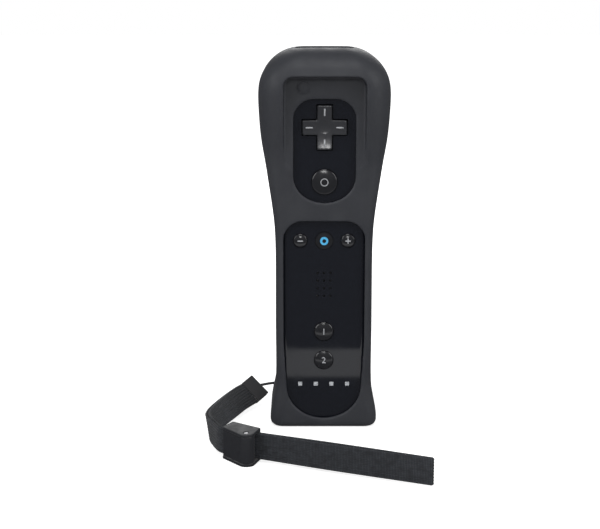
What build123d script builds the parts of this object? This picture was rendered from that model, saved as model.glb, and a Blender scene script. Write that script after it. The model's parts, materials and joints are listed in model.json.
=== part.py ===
from build123d import *
import os
from math import atan, cos, degrees, pi, radians, sin, sqrt, tan

# A handheld motion controller wand in a thick silicone sleeve, with a wrist strap.
# Millimetres. +Z runs up the wand, and the button face looks toward -Y.
# The origin is at the middle of the sleeve's base.

# Controller case
case_width = 36.2
case_depth = 29.0
case_height = 148.0
case_corner = 2.6
case_edge = 2.0
shell = 1.7

# Silicone sleeve
floor_skin = 3.0
crown = 10.5
snug = 0.15
head_width = 54.8
head_depth = 44.0
head_side_round = 18.0
head_face_round = 14.0
waist_width = 40.9
waist_front = 16.4
waist_back = 17.0
waist_low = 22.3
waist_high = 76.0
base_width = 45.8
base_front = 16.4
base_back = 19.5
base_edge = 2.8
membrane = 1.25
recess_width = 33.8
recess_above_a = 5.4
recess_high = 149.9
recess_corner = 4.0
recess_taper = 0.6
upper_window_width = 25.8
upper_window_below_a = 8.6
upper_window_above_pad = 11.6
upper_window_corner = 8.4
upper_window_toe = 11.0
lower_window_width = 34.2
lower_window_neck = 31.6
lower_window_low = 4.4
lower_window_above_middle = 8.4
lower_window_corner = 8.0
lower_window_toe = 14.0
lower_window_taper_high = 38.0
trigger_opening_width = 23.0
trigger_opening_low = 102.5
trigger_opening_high = 140.5
trigger_opening_corner = 8.0
socket_opening_margin = 1.6
pointer_well_width = 24.0
pointer_well_depth = 13.0
pointer_well_corner = 3.0
power_bump = 4.0
power_bump_height = 0.5

# Clearances and shared small sizes
fit = 0.15
running_fit = 0.05
overrun = 6.0
hole_gap = 0.2

# Heights of the buttons, each from the one below it
two_height = 29.9
one_above_two = 12.6
sound_above_one = 20.5
middle_above_sound = 18.8
a_above_middle = 24.8
pad_above_a = 22.6

# Button face
button_proud = 1.0
button_dome = 0.7
button_lip = 0.9
button_flange = 1.2
a_size = 10.6
a_proud = 1.5
minus_size = 5.8
home_size = 7.2
home_ring_size = 3.4
home_ring_bore = 1.7
home_ring_depth = 0.5
side_button_offset = 10.0
number_size = 8.0
power_size = 3.8
power_offset = 8.65
power_height = 145.6

# Direction pad
pad_span = 18.2
pad_arm = 6.0
pad_arm_round = 0.8
pad_proud = 1.9
pad_edge = 0.6
pad_gap = 0.45
pad_dish = 2.6
pad_dish_depth = 0.5
pad_flange = 20.8
pad_flange_thick = 0.9
pad_flange_gap = 1.0
pad_hub = 5.6
pad_pivot = 10.2
pad_ball = 3.0
pad_stem = 2.4
rocker_outer = 8.0
rocker_bore = 3.6
rocker_low = 9.3
rocker_thick = 0.6

# Lights and speaker
light_size = 1.7
light_flange = 0.6
light_flange_thick = 0.8
light_recess = 0.1
light_spacing = 6.7
light_height = 19.3
light_count = 4
light_chip = 1.6
light_chip_thick = 0.8
light_gap = 0.3
sound_hole = 1.0
sound_columns = 3
sound_rows = 4
sound_column_spacing = 2.7
sound_row_spacing = 3.3
speaker_size = 19.6
speaker_thick = 3.4
magnet_size = 10.0
magnet_thick = 2.6
speaker_collar = 0.7
speaker_collar_high = 1.6

# Boards
board_front = 8.2
board_thick = 1.0
board_width = 31.0
board_low = 16.0
board_high = 147.0
board_corner = 2.0
chip_size = 11.0
chip_thick = 1.2
chip_height = 45.0
small_chip = 5.0
gyro_width = 16.0
gyro_low = 93.0
gyro_high = 103.0
gyro_gap = 2.0
gyro_thick = 0.9
gyro_chip = 4.5
header_pin = 0.7
header_spacing = 2.54
header_pins = 5
radio_width = 15.0
radio_low = 125.0
radio_high = 136.0
radio_thick = 2.0
mat_thick = 0.7
dome_high = 1.7
pad_dome_high = 1.2
dome_round = 0.6
dome_share = 0.36

# Screws and their bosses
screw_shank = 1.7
screw_head = 3.8
screw_head_thick = 1.4
screw_seat = 3.0
screw_reach = 7.5
boss_size = 4.4
shoulder_size = 6.0
column_size = 5.8
lower_screw_offset = 12.4
lower_screw_height = 73.5
upper_screw_offset = 13.1
upper_screw_height = 138.5

# Batteries and their bay
cell_diameter = 14.2
cell_length = 49.2
cell_nub = 5.2
cell_nub_high = 1.1
cell_spacing = 14.6
bay_low = 15.6
contact_gap = 1.3
contact_thick = 0.5
contact_width = 11.0
contact_dome = 5.0
bay_wall = 1.1
bay_half_margin = 0.5
tray_thick = 1.1
bay_floor = 2.1
door_low = 14.0
door_high = 79.0
door_thick = 1.6
door_side = 14.85
catch_width = 12.0
catch_thick = 1.5
catch_root = 1.2
catch_reach = 1.2
door_rib_count = 5
door_rib = 0.5
door_rib_spacing = 2.2
door_rib_width = 12.0
shelf_depth = 7.5
shelf_thick = 1.2
sync_size = 3.4
sync_high = 2.4
sync_flange = 0.8

# Trigger at the back
trigger_width = 16.6
trigger_pivot_depth = 9.4
trigger_pivot_height = 134.2
trigger_top_depth = 14.2
trigger_top_height = 137.0
trigger_scoop_depth = 13.0
trigger_scoop_height = 121.0
trigger_tip_depth = 15.6
trigger_tip_height = 108.6
trigger_thick = 2.0
trigger_window_gap = 0.5
trigger_tip_gap = 1.4
trigger_boss = 4.8
trigger_pin_size = 2.0
ear_gap = 0.4
ear_thick = 1.8
ear_size = 5.4
plunger_width = 4.0
plunger_height = 114.0
plunger_reach = 5.6
switch_size = 7.0
switch_rise = 8.4
switch_dome = 4.4
switch_dome_rise = 1.4

# Rumble motor
motor_size = 9.0
motor_length = 14.0
motor_left = 10.0
motor_depth = 6.2
motor_height = 90.0
motor_shaft = 1.5
weight_radius = 5.2
weight_thick = 3.4
weight_gap = 1.4
weight_hub = 2.2
cradle_thick = 1.5
cradle_inset = 1.6
cradle_margin = 1.2

# Pointer camera in the tip
camera_width = 12.0
camera_depth = 10.0
camera_low = 140.0
camera_lens = 6.0
camera_lens_high = 0.8
camera_body_high = 8.2
pointer_window_width = 22.0
pointer_window_depth = 11.0
pointer_window_corner = 2.5
pointer_window_centre = -2.2

# Expansion socket in the base
socket_width = 16.6
socket_depth = 8.2
socket_high = 10.6
socket_wall = 0.8
socket_corner = 1.2
socket_cavity_high = 8.6
socket_contact = 0.5
socket_contact_thick = 0.25
socket_contacts = 6
socket_contact_pitch = 2.0
socket_flange = 1.0
socket_flange_thick = 1.0

# Strap post in the case's lower left back corner
post_x = -12.4
post_y = 8.6
post_size = 2.2
post_pocket = 6.0
post_low = 9.0
post_high = 11.8
post_block_low = 7.4
post_block_inner = 9.0
strap_heading = 131.3
strap_slot_width = 4.0
strap_slot_length = 24.0

# String, tab and webbing
string_diameter = 0.9
string_corner_share = 0.45
webbing_width = 10.8
webbing_layer = 0.9
webbing_gap = 0.3
tab_thick = 3.0
tab_margin = 0.15
tab_edge = 0.5

# Strap lock
lock_along = 9.65
lock_plate = 1.1
lock_high = 13.3
lock_slot = 2.7
lock_lever_gap = 0.1
cam_radius = 3.3
cam_forward = 4.0
cam_gap = 0.1
lock_rim = 0.2
tail_radius = 0.6
tail_forward = -7.0
heel_radius = 0.7
heel_back_left = 4.6
heel_forward_left = -6.2
heel_back_right = 1.9
heel_forward_right = 6.4
lock_pin_size = 1.8
lock_pin_recess = 0.35
lock_edge = 0.4

# Route of the string's centreline, a loop from the tab round the strap post and back.
string_points = [
    (-28.15, 18.45, 8.2),
    (-21.55, 18.05, 9.9),
    (-16.85, 11.99, 10.4),
    (-12.55, 6.27, 10.4),
    (-10.07, 8.45, 10.4),
    (-15.20, 13.45, 10.4),
    (-21.05, 19.20, 9.9),
    (-28.15, 19.55, 8.2),
]

# Route of the webbing's middle, from the tab to the folded end of the loop.
# It leaves the tab leaning over, and stands upright by the end of its curved stretch.
webbing_places = [
    (-33.1, 13.0, 6.2),
    (-36.7, 6.2, 6.2),
    (-40.3, -4.2, 6.3),
    (-44.0, -15.2, 6.4),
    (-47.3, -25.8, 6.5),
    (-48.1, -31.8, 6.55),
    (-46.9, -37.4, 6.6),
    (-44.7, -43.0, 6.65),
]
webbing_sections = 17
tab_heading = -123.0
tab_slope = -13.0
tab_lean = 47.0
webbing_bend = (-42.1, -49.8)
webbing_end = (39.4, -84.2)
webbing_bend_radius = 3.0
webbing_thick = 2 * webbing_layer + webbing_gap

# Places worked out from the sizes above
case_low = floor_skin
case_high = case_low + case_height
case_half = case_width / 2
front = case_depth / 2
inner_half = case_half - shell
inner_front = front - shell
sleeve_top = case_high + crown
head_half = head_width / 2
head_face = head_depth / 2
membrane_front = front + snug + membrane
bay_half = cell_spacing / 2 + cell_diameter / 2 + bay_half_margin
cell_low = bay_low + contact_gap
bay_high = cell_low + cell_length + cell_nub_high + contact_gap
cell_centre = inner_front - bay_half_margin - cell_diameter / 2
door_inner = front - door_thick
door_opening = door_side + fit
board_back = board_front - board_thick
one_height = two_height + one_above_two
sound_height = one_height + sound_above_one
middle_height = sound_height + middle_above_sound
a_height = middle_height + a_above_middle
pad_height = a_height + pad_above_a
recess_low = a_height + recess_above_a
upper_window_low = a_height - upper_window_below_a
upper_window_high = pad_height + upper_window_above_pad
lower_window_high = middle_height + lower_window_above_middle
webbing_heading = degrees(atan((webbing_end[1] - webbing_bend[1]) / (webbing_end[0] - webbing_bend[0])))
along_x = cos(radians(webbing_heading))
along_y = sin(radians(webbing_heading))
lock_x = webbing_bend[0] + lock_along * along_x
lock_y = webbing_bend[1] + lock_along * along_y
cam_back = -(lock_slot / 2 + cam_gap + cam_radius)
tail_back = -(lock_slot / 2 + cam_gap + tail_radius)
screw_rows = ((lower_screw_offset, lower_screw_height), (upper_screw_offset, upper_screw_height))
screw_places = [(side * offset, height) for offset, height in screw_rows for side in (-1, 1)]
light_left = -(light_count - 1) / 2 * light_spacing
light_places = [(light_left + step * light_spacing, light_height) for step in range(light_count)]
round_buttons = {
    "a_button": (0, a_height, a_size, a_proud),
    "minus_button": (-side_button_offset, middle_height, minus_size, button_proud),
    "home_button": (0, middle_height, home_size, button_proud),
    "plus_button": (side_button_offset, middle_height, minus_size, button_proud),
    "one_button": (0, one_height, number_size, button_proud),
    "two_button": (0, two_height, number_size, button_proud),
}

os.makedirs("parts", exist_ok=True)


def keep(piece, name):
    """Name a finished piece and write it."""
    piece.part.label = name
    export_step(piece.part, f"parts/{name}.step")


def bar(width, depth, low, high, corner, mode=Mode.ADD):
    """A bar up the axis with rounded corners."""
    with BuildSketch(Plane.XY.offset(low)) as outline:
        RectangleRounded(width, depth, corner)
    extrude(outline.sketch, amount=high - low, mode=mode)


def block(left, right, near, far, low, high, mode=Mode.ADD):
    """A square block between two X, two Y and two Z places."""
    with BuildSketch(Plane.XY.offset(low)) as outline:
        with Locations(((left + right) / 2, (near + far) / 2)):
            Rectangle(right - left, far - near)
    extrude(outline.sketch, amount=high - low, mode=mode)


def rod(x, z, size, near, far, mode=Mode.ADD):
    """A round rod along Y between two Y places."""
    with BuildSketch(Plane.XZ.offset(-near)) as outline:
        with Locations((x, z)):
            Circle(size / 2)
    extrude(outline.sketch, amount=near - far, mode=mode)


def cross_rod(y, z, size, left, right, mode=Mode.ADD):
    """A round rod along X between two X places."""
    with BuildSketch(Plane.YZ.offset(left)) as outline:
        with Locations((y, z)):
            Circle(size / 2)
    extrude(outline.sketch, amount=right - left, mode=mode)


def case_body():
    """The controller's outer shape."""
    bar(case_width, case_depth, case_low, case_high, case_corner)


def light_post(x, z, half, near, far, mode=Mode.ADD):
    """A square post behind the face, for a light."""
    block(x - half, x + half, near, far, z - half, z + half, mode)


def case_hollow(mode=Mode.SUBTRACT):
    """The space inside the case's walls."""
    low, high = case_low + shell, case_high - shell
    bar(2 * inner_half, 2 * inner_front, low, high, case_corner - shell, mode)


def front_half(keep_front):
    """Cut away the case half behind or in front of the parting line."""
    near, far = (0, front + overrun) if keep_front else (-front - overrun, 0)
    reach = case_half + overrun
    block(-reach, reach, near, far, case_low - overrun, case_high + overrun, Mode.SUBTRACT)


def strap_slot():
    """The slot that the string leaves through, from the strap post outward."""
    with BuildSketch(Plane.XY.offset(post_low)) as outline:
        with Locations(Location((post_x, post_y, 0), (0, 0, strap_heading))):
            with Locations((strap_slot_length / 2, 0)):
                Rectangle(strap_slot_length, strap_slot_width)
    extrude(outline.sketch, amount=post_high - post_low, mode=Mode.SUBTRACT)


def pointer_window(low, high, gap, mode):
    """The dark window in the case's tip."""
    with BuildSketch(Plane.XY.offset(low)) as outline:
        with Locations((0, pointer_window_centre)):
            RectangleRounded(
                pointer_window_width + 2 * gap, pointer_window_depth + 2 * gap, pointer_window_corner + gap
            )
    extrude(outline.sketch, amount=high - low, mode=mode)


def crown_inset(height, round_size):
    """How far the sleeve's crown has drawn in at a height."""
    rise = max(0, height - (sleeve_top - round_size))
    return round_size - sqrt(max(0, round_size * round_size - rise * rise))


# Sleeve sections: share of the way up, then shares of the way from waist to head, or waist to base.
# The columns are height, half width, front and back.
base_shares = [
    (0, 1, 1, 1),
    (0.18, 1, 0.98, 0.98),
    (0.4, 0.76, 0.72, 0.72),
    (0.6, 0.38, 0.36, 0.36),
    (0.8, 0.1, 0.1, 0.1),
]
waist_shares = [0, 0.3, 0.65, 1]
rise_shares = [
    (0.19, 0.08, 0, 0.06),
    (0.32, 0.24, 0, 0.2),
    (0.44, 0.42, 0.01, 0.38),
    (0.57, 0.62, 0.07, 0.6),
    (0.69, 0.82, 0.3, 0.8),
    (0.8, 0.93, 0.62, 0.92),
    (0.91, 0.99, 0.9, 0.98),
]
crown_angles = [0, 16, 30, 44, 58, 70, 80, 90]
waist_corner_share = 0.3
head_corner_share = 0.55
waist_half = waist_width / 2


def sleeve_section(height, half, near, far, corner_share):
    """One rounded cross-section of the sleeve."""
    with BuildSketch(Plane.XY.offset(height)) as outline:
        with Locations((0, (far - near) / 2)):
            RectangleRounded(2 * half, near + far, corner_share * (near + far) / 2)
    return outline.sketch.faces()[0]


def blend(start, end, share):
    """A size part of the way from one to another."""
    return start + (end - start) * share


sleeve_faces = []
for height, wide, near, far in base_shares:
    sleeve_faces.append(
        sleeve_section(
            height * waist_low,
            blend(waist_half, base_width / 2, wide),
            blend(waist_front, base_front, near),
            blend(waist_back, base_back, far),
            waist_corner_share,
        )
    )
for share in waist_shares:
    height = blend(waist_low, waist_high, share)
    sleeve_faces.append(sleeve_section(height, waist_half, waist_front, waist_back, waist_corner_share))
rise_top = sleeve_top - head_side_round
for height, wide, near, far in rise_shares:
    sleeve_faces.append(
        sleeve_section(
            blend(waist_high, rise_top, height),
            blend(waist_half, head_half, wide),
            blend(waist_front, head_face, near),
            blend(waist_back, head_face, far),
            blend(waist_corner_share, head_corner_share, wide),
        )
    )
for angle in crown_angles:
    height = rise_top + head_side_round * sin(radians(angle))
    side = crown_inset(height, head_side_round)
    face = crown_inset(height, head_face_round)
    depth = head_face - face
    sleeve_faces.append(sleeve_section(height, head_half - side, depth, depth, head_corner_share))

lower_window_floor = front - case_corner + sqrt(
    case_corner * case_corner - (lower_window_width / 2 - case_half + case_corner) ** 2
)

with BuildPart() as sleeve:
    loft(sleeve_faces)
    base_rim = sleeve.edges().group_by(Axis.Z)[0]
    fillet(base_rim, base_edge)
    bar(
        case_width + 2 * snug,
        case_depth + 2 * snug,
        case_low,
        case_high + snug,
        case_corner + snug,
        Mode.SUBTRACT,
    )
    # Recess inside the bumper head, whose floor fades into the waist
    recess_slope = atan(recess_taper / (recess_high - recess_low))
    recess_plane = Plane(
        origin=(0, -membrane_front, recess_high),
        x_dir=(1, 0, 0),
        z_dir=(0, -cos(recess_slope), sin(recess_slope)),
    )
    with BuildSketch(recess_plane) as recess_outline:
        with Locations((0, (recess_low - recess_high) / 2)):
            RectangleRounded(recess_width, recess_high - recess_low, recess_corner)
    extrude(recess_outline.sketch, amount=head_face, mode=Mode.SUBTRACT)
    # Upper window round the direction pad and the main button
    with BuildSketch(Plane.XZ.offset(front - snug)) as upper_outline:
        toe_height = upper_window_low + upper_window_toe
        with Locations((0, (toe_height + upper_window_high) / 2)):
            Rectangle(upper_window_width, upper_window_high - toe_height)
        fillet(upper_outline.vertices().group_by(Axis.Y)[-1], upper_window_corner)
        with Locations((0, toe_height)):
            Ellipse(upper_window_width / 2, upper_window_toe)
    extrude(upper_outline.sketch, amount=head_face, mode=Mode.SUBTRACT)
    # Lower window over the rest of the face
    with BuildSketch(Plane.XZ.offset(lower_window_floor - snug)) as lower_outline:
        neck_height = lower_window_low + lower_window_toe
        with BuildLine():
            Polyline(
                (-lower_window_width / 2, lower_window_high),
                (-lower_window_width / 2, lower_window_taper_high),
                (-lower_window_neck / 2, neck_height),
                (lower_window_neck / 2, neck_height),
                (lower_window_width / 2, lower_window_taper_high),
                (lower_window_width / 2, lower_window_high),
                close=True,
            )
        make_face()
        fillet(lower_outline.vertices().group_by(Axis.Y)[-1], lower_window_corner)
        with Locations((0, neck_height)):
            Ellipse(lower_window_neck / 2, lower_window_toe)
    extrude(lower_outline.sketch, amount=head_face, mode=Mode.SUBTRACT)
    # Opening for the trigger at the back
    with BuildSketch(Plane.XZ.offset(-front + snug)) as back_outline:
        with Locations((0, (trigger_opening_low + trigger_opening_high) / 2)):
            RectangleRounded(
                trigger_opening_width, trigger_opening_high - trigger_opening_low, trigger_opening_corner
            )
    extrude(back_outline.sketch, amount=-head_face, mode=Mode.SUBTRACT)
    # Well over the tip window, and the hole over the expansion socket
    with BuildSketch(Plane.XY.offset(case_high)) as well_outline:
        with Locations((0, pointer_window_centre)):
            RectangleRounded(pointer_well_width, pointer_well_depth, pointer_well_corner)
    extrude(well_outline.sketch, amount=crown + overrun, mode=Mode.SUBTRACT)
    bar(
        socket_width + 2 * socket_opening_margin,
        socket_depth + 2 * socket_opening_margin,
        -overrun,
        case_low + overrun,
        socket_corner + socket_opening_margin,
        Mode.SUBTRACT,
    )
    strap_slot()
    # Raised spot over the power button
    bump_front = -membrane_front - power_bump_height
    rod(-power_offset, power_height, power_bump, bump_front, -membrane_front + membrane / 2)
keep(sleeve, "sleeve")

with BuildPart() as front_case:
    case_body()
    fillet(front_case.faces().filter_by(Axis.Z).edges(), case_edge)
    case_hollow()
    front_half(True)
    for x, z, size, _ in round_buttons.values():
        rod(x, z, size + 2 * hole_gap, -front - overrun, -inner_front + overrun / 2, Mode.SUBTRACT)
    power_bore = power_size + 2 * hole_gap
    rod(-power_offset, power_height, power_bore, -front - overrun, -board_front, Mode.SUBTRACT)
    with BuildSketch(Plane.XZ.offset(inner_front - overrun / 2)) as pad_hole:
        with Locations((0, pad_height)):
            Rectangle(pad_span + 2 * pad_gap, pad_arm + 2 * pad_gap)
            Rectangle(pad_arm + 2 * pad_gap, pad_span + 2 * pad_gap)
        fillet(pad_hole.vertices(), pad_arm_round / 2)
    extrude(pad_hole.sketch, amount=overrun + shell, mode=Mode.SUBTRACT)
    for x, z in light_places:
        light_post(x, z, light_size / 2 + light_recess, -front - overrun, 0, Mode.SUBTRACT)
    with BuildSketch(Plane.XZ.offset(inner_front - overrun / 2)) as sound_holes:
        with Locations((0, sound_height)):
            with GridLocations(sound_column_spacing, sound_row_spacing, sound_columns, sound_rows):
                Circle(sound_hole / 2)
    extrude(sound_holes.sketch, amount=overrun + shell, mode=Mode.SUBTRACT)
    # Collar that locates the speaker
    with BuildSketch(Plane.XZ.offset(inner_front)) as collar:
        with Locations((0, sound_height)):
            Circle(speaker_size / 2 + fit + speaker_collar)
            Circle(speaker_size / 2 + fit, mode=Mode.SUBTRACT)
    extrude(collar.sketch, amount=-speaker_collar_high)
    # Screw bosses whose shoulders carry the main board
    for x, z in screw_places:
        rod(x, z, shoulder_size, -inner_front, -board_front)
        rod(x, z, boss_size, -board_front, 0)
        rod(x, z, screw_shank + 2 * running_fit, -screw_reach - fit, 0, Mode.SUBTRACT)
    pointer_window(case_high - shell - overrun / 2, case_high + overrun, fit, Mode.SUBTRACT)
    bar(
        socket_width + 2 * fit,
        socket_depth + 2 * fit,
        case_low - overrun,
        case_low + shell,
        socket_corner,
        Mode.SUBTRACT,
    )
keep(front_case, "front_case")

trigger_window_low = trigger_tip_height - trigger_tip_gap
trigger_window_high = trigger_top_height + trigger_window_gap
trigger_half = trigger_width / 2
with BuildPart() as rear_case:
    case_body()
    fillet(rear_case.faces().filter_by(Axis.Z).edges(), case_edge)
    case_hollow()
    front_half(False)
    # Battery tray: floor, side walls and end walls
    tray_near = -bay_floor - tray_thick
    block(-inner_half + fit, inner_half - fit, tray_near, fit, bay_low - bay_wall, bay_high + bay_wall)
    block(-inner_half, inner_half, 0, inner_front, bay_low - bay_wall, bay_high + bay_wall)
    block(-bay_half, bay_half, -bay_floor, front + overrun, bay_low, bay_high, Mode.SUBTRACT)
    # Door opening, with the shelf for the sync button above the bay
    block(
        -door_opening,
        door_opening,
        door_inner - fit,
        front + overrun,
        door_low - fit,
        door_high + fit,
        Mode.SUBTRACT,
    )
    block(-inner_half, inner_half, shelf_depth, shelf_depth + shelf_thick, bay_high, door_high + shell)
    block(
        -door_opening,
        door_opening,
        shelf_depth + shelf_thick,
        front + overrun,
        bay_high + bay_wall,
        door_high + fit,
        Mode.SUBTRACT,
    )
    block(-inner_half, inner_half, shelf_depth, inner_front, door_high + fit, door_high + shell)
    # Notches that take the door's catches
    for low, high in ((door_low, bay_low), (door_high, door_high + overrun)):
        block(
            -catch_width / 2 - fit,
            catch_width / 2 + fit,
            door_inner - catch_thick - fit,
            inner_front,
            low,
            high,
            Mode.SUBTRACT,
        )
    rod(0, lower_screw_height + shelf_thick, sync_size + 2 * hole_gap, 0, front, Mode.SUBTRACT)
    # Screw columns
    for x, z in screw_places:
        top = inner_front if z > door_high else door_inner - 2 * fit
        rod(x, z, column_size, 0, top)
        rod(x, z, screw_head + 2 * fit, screw_seat, front + overrun, Mode.SUBTRACT)
        rod(x, z, screw_shank + 2 * fit, 0, screw_seat, Mode.SUBTRACT)
    # Trigger window and the ears for its pin
    block(
        -trigger_half - trigger_window_gap,
        trigger_half + trigger_window_gap,
        inner_front - overrun / 2,
        front + overrun,
        trigger_window_low,
        trigger_window_high,
        Mode.SUBTRACT,
    )
    for side in (-1, 1):
        near_side = side * (trigger_half + ear_gap)
        far_side = side * (trigger_half + ear_gap + ear_thick)
        left, right = min(near_side, far_side), max(near_side, far_side)
        cross_rod(trigger_pivot_depth, trigger_pivot_height, ear_size, left, right)
        block(
            left,
            right,
            trigger_pivot_depth,
            inner_front,
            trigger_pivot_height - ear_size / 2,
            trigger_pivot_height + ear_size / 2,
        )
    pin_reach = trigger_half + ear_gap + ear_thick
    cross_rod(
        trigger_pivot_depth,
        trigger_pivot_height,
        trigger_pin_size + 2 * running_fit,
        -pin_reach,
        pin_reach,
        Mode.SUBTRACT,
    )
    # Cradle ribs under the rumble motor
    for left in (-motor_left + cradle_inset, -motor_left + motor_length - cradle_inset - cradle_thick):
        block(
            left,
            left + cradle_thick,
            motor_depth,
            inner_front,
            motor_height - motor_size / 2 - cradle_margin,
            motor_height + motor_size / 2 + cradle_margin,
        )
    cross_rod(
        motor_depth,
        motor_height,
        motor_size + 2 * running_fit,
        -motor_left - overrun / 2,
        -motor_left + motor_length,
        Mode.SUBTRACT,
    )
    # Strap post in its pocket
    block(-inner_half, -post_block_inner, 0, inner_front, post_block_low, bay_low - bay_wall)
    with BuildSketch(Plane.XY.offset(post_low)) as pocket:
        with Locations((post_x, post_y)):
            Circle(post_pocket / 2)
    extrude(pocket.sketch, amount=post_high - post_low, mode=Mode.SUBTRACT)
    strap_slot()
    with BuildSketch(Plane.XY.offset(post_low)) as post:
        with Locations((post_x, post_y)):
            Circle(post_size / 2)
    extrude(post.sketch, amount=post_high - post_low)
    pointer_window(case_high - shell - overrun / 2, case_high + overrun, fit, Mode.SUBTRACT)
    bar(
        socket_width + 2 * fit,
        socket_depth + 2 * fit,
        case_low - overrun,
        case_low + shell,
        socket_corner,
        Mode.SUBTRACT,
    )
keep(rear_case, "rear_case")

with BuildPart() as battery_door:
    case_body()
    reach = case_half + overrun
    block(-reach, reach, -front - overrun, door_inner, 0, case_high, Mode.SUBTRACT)
    block(-reach, reach, -front - overrun, front + overrun, 0, door_low, Mode.SUBTRACT)
    block(-reach, reach, -front - overrun, front + overrun, door_high, case_high + overrun, Mode.SUBTRACT)
    block(-reach, -door_side, 0, front + overrun, 0, case_high, Mode.SUBTRACT)
    block(door_side, reach, 0, front + overrun, 0, case_high, Mode.SUBTRACT)
    # Catches that reach behind the case's wall at both ends, and finger ribs
    for door_end, away in ((door_low, -1), (door_high, 1)):
        root = door_end - away * catch_root
        tip = door_end + away * catch_reach
        inner = door_inner - catch_thick
        side = catch_width / 2
        block(-side, side, inner, inner_front - fit, min(root, tip), max(root, tip))
        block(-side, side, inner, door_inner + fit, min(root, door_end), max(root, door_end))
    with BuildSketch(Plane.XZ.offset(-front + door_rib)) as ribs:
        with Locations((0, bay_high - door_rib_count * door_rib_spacing)):
            with GridLocations(door_rib_spacing, door_rib_spacing, 1, door_rib_count):
                SlotOverall(door_rib_width, door_rib * 2)
    extrude(ribs.sketch, amount=-overrun, mode=Mode.SUBTRACT)
keep(battery_door, "battery_door")


def make_button(name, x, z, size, proud):
    """A round button with a domed top and a flange that rests under the case's face."""
    centre_plane = Plane(origin=(x, 0, z), x_dir=(1, 0, 0), z_dir=(0, 0, 1))
    top = front + proud
    radius = size / 2
    with BuildPart() as button:
        rod(x, z, size + 2 * button_lip, -inner_front, -inner_front + button_flange)
        case_hollow(Mode.INTERSECT)
        with BuildSketch(centre_plane):
            with BuildLine():
                RadiusArc(
                    (0, -top),
                    (radius, -top + button_dome),
                    (radius * radius + button_dome * button_dome) / (2 * button_dome),
                )
                Polyline(
                    (radius, -top + button_dome),
                    (radius, -inner_front + button_flange),
                    (0, -inner_front + button_flange),
                    (0, -top),
                )
            make_face()
        revolve(axis=Axis((x, 0, z), (0, 1, 0)))
        if name == "home_button":
            ring_seat = home_ring_size + 2 * running_fit
            rod(x, z, ring_seat, -top - overrun, -top + home_ring_depth, Mode.SUBTRACT)
            rod(x, z, home_ring_bore - 2 * running_fit, -top, -top + home_ring_depth)
    keep(button, name)


for name, (x, z, size, proud) in round_buttons.items():
    make_button(name, x, z, size, proud)

home_top = front + button_proud
with BuildPart() as home_ring:
    rod(0, middle_height, home_ring_size, -home_top, -home_top + home_ring_depth)
    rod(0, middle_height, home_ring_bore, -home_top, -home_top + home_ring_depth, Mode.SUBTRACT)
keep(home_ring, "home_ring")

with BuildPart() as power_button:
    rod(-power_offset, power_height, power_size, -front, -inner_front)
    flange_size = power_size + 2 * button_lip
    rod(-power_offset, power_height, flange_size, -inner_front, -inner_front + button_flange)
keep(power_button, "power_button")

pad_top = front + pad_proud
pad_flange_front = inner_front - pad_flange_gap
with BuildPart() as d_pad:
    with BuildSketch(Plane.XZ.offset(pad_flange_front)) as cross:
        with Locations((0, pad_height)):
            Rectangle(pad_span, pad_arm)
            Rectangle(pad_arm, pad_span)
        fillet(cross.vertices(), pad_arm_round / 2)
    extrude(cross.sketch, amount=pad_top - pad_flange_front)
    fillet(d_pad.faces().sort_by(Axis.Y)[0].edges(), pad_edge)
    rod(0, pad_height, pad_flange, -pad_flange_front, -pad_flange_front + pad_flange_thick)
    rod(0, pad_height, pad_hub, -pad_flange_front, -pad_pivot)
    with Locations((0, -pad_pivot, pad_height)):
        Sphere(pad_ball / 2 + running_fit, mode=Mode.SUBTRACT)
    dish_radius = (pad_dish * pad_dish + pad_dish_depth * pad_dish_depth) / (2 * pad_dish_depth)
    with Locations((0, -pad_top - dish_radius + pad_dish_depth, pad_height)):
        Sphere(dish_radius, mode=Mode.SUBTRACT)
keep(d_pad, "d_pad")

with BuildPart() as d_pad_post:
    with Locations((0, -pad_pivot, pad_height)):
        Sphere(pad_ball / 2)
    rod(0, pad_height, pad_stem, -pad_pivot, -board_front)
keep(d_pad_post, "d_pad_post")

with BuildPart() as d_pad_rocker:
    rod(0, pad_height, rocker_outer, -rocker_low - rocker_thick, -rocker_low)
    rod(0, pad_height, rocker_bore, -rocker_low - rocker_thick, -rocker_low, Mode.SUBTRACT)
keep(d_pad_rocker, "d_pad_rocker")

with BuildPart() as led_lenses:
    for x, z in light_places:
        lens_back = -board_front - light_chip_thick - light_gap
        light_post(x, z, light_size / 2, -front + light_recess, lens_back)
        light_post(x, z, light_size / 2 + light_flange, -inner_front, -inner_front + light_flange_thick)
keep(led_lenses, "led_lenses")

with BuildPart() as led_chips:
    for x, z in light_places:
        light_post(x, z, light_chip / 2, -board_front - light_chip_thick, -board_front)
keep(led_chips, "led_chips")

speaker_back = -inner_front + running_fit + speaker_thick
with BuildPart() as speaker:
    rod(0, sound_height, speaker_size, -inner_front, speaker_back)
    rod(0, sound_height, magnet_size, speaker_back, speaker_back + magnet_thick)
keep(speaker, "speaker")

with BuildPart() as main_board:
    with BuildSketch(Plane.XZ.offset(board_back)) as board_outline:
        with Locations((0, (board_low + board_high) / 2)):
            RectangleRounded(board_width, board_high - board_low, board_corner)
        for x, z in screw_places:
            with Locations((x, z)):
                Circle(boss_size / 2 + fit, mode=Mode.SUBTRACT)
        with Locations((0, sound_height)):
            Circle(speaker_size / 2 + 2 * fit, mode=Mode.SUBTRACT)
    extrude(board_outline.sketch, amount=board_thick)
    for x, z, size in (
        (0, chip_height, chip_size),
        (-chip_size, middle_height, small_chip),
        (chip_size, middle_height, small_chip),
    ):
        half = size / 2
        block(x - half, x + half, -board_back, -board_back + chip_thick, z - half, z + half)
keep(main_board, "main_board")


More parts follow.
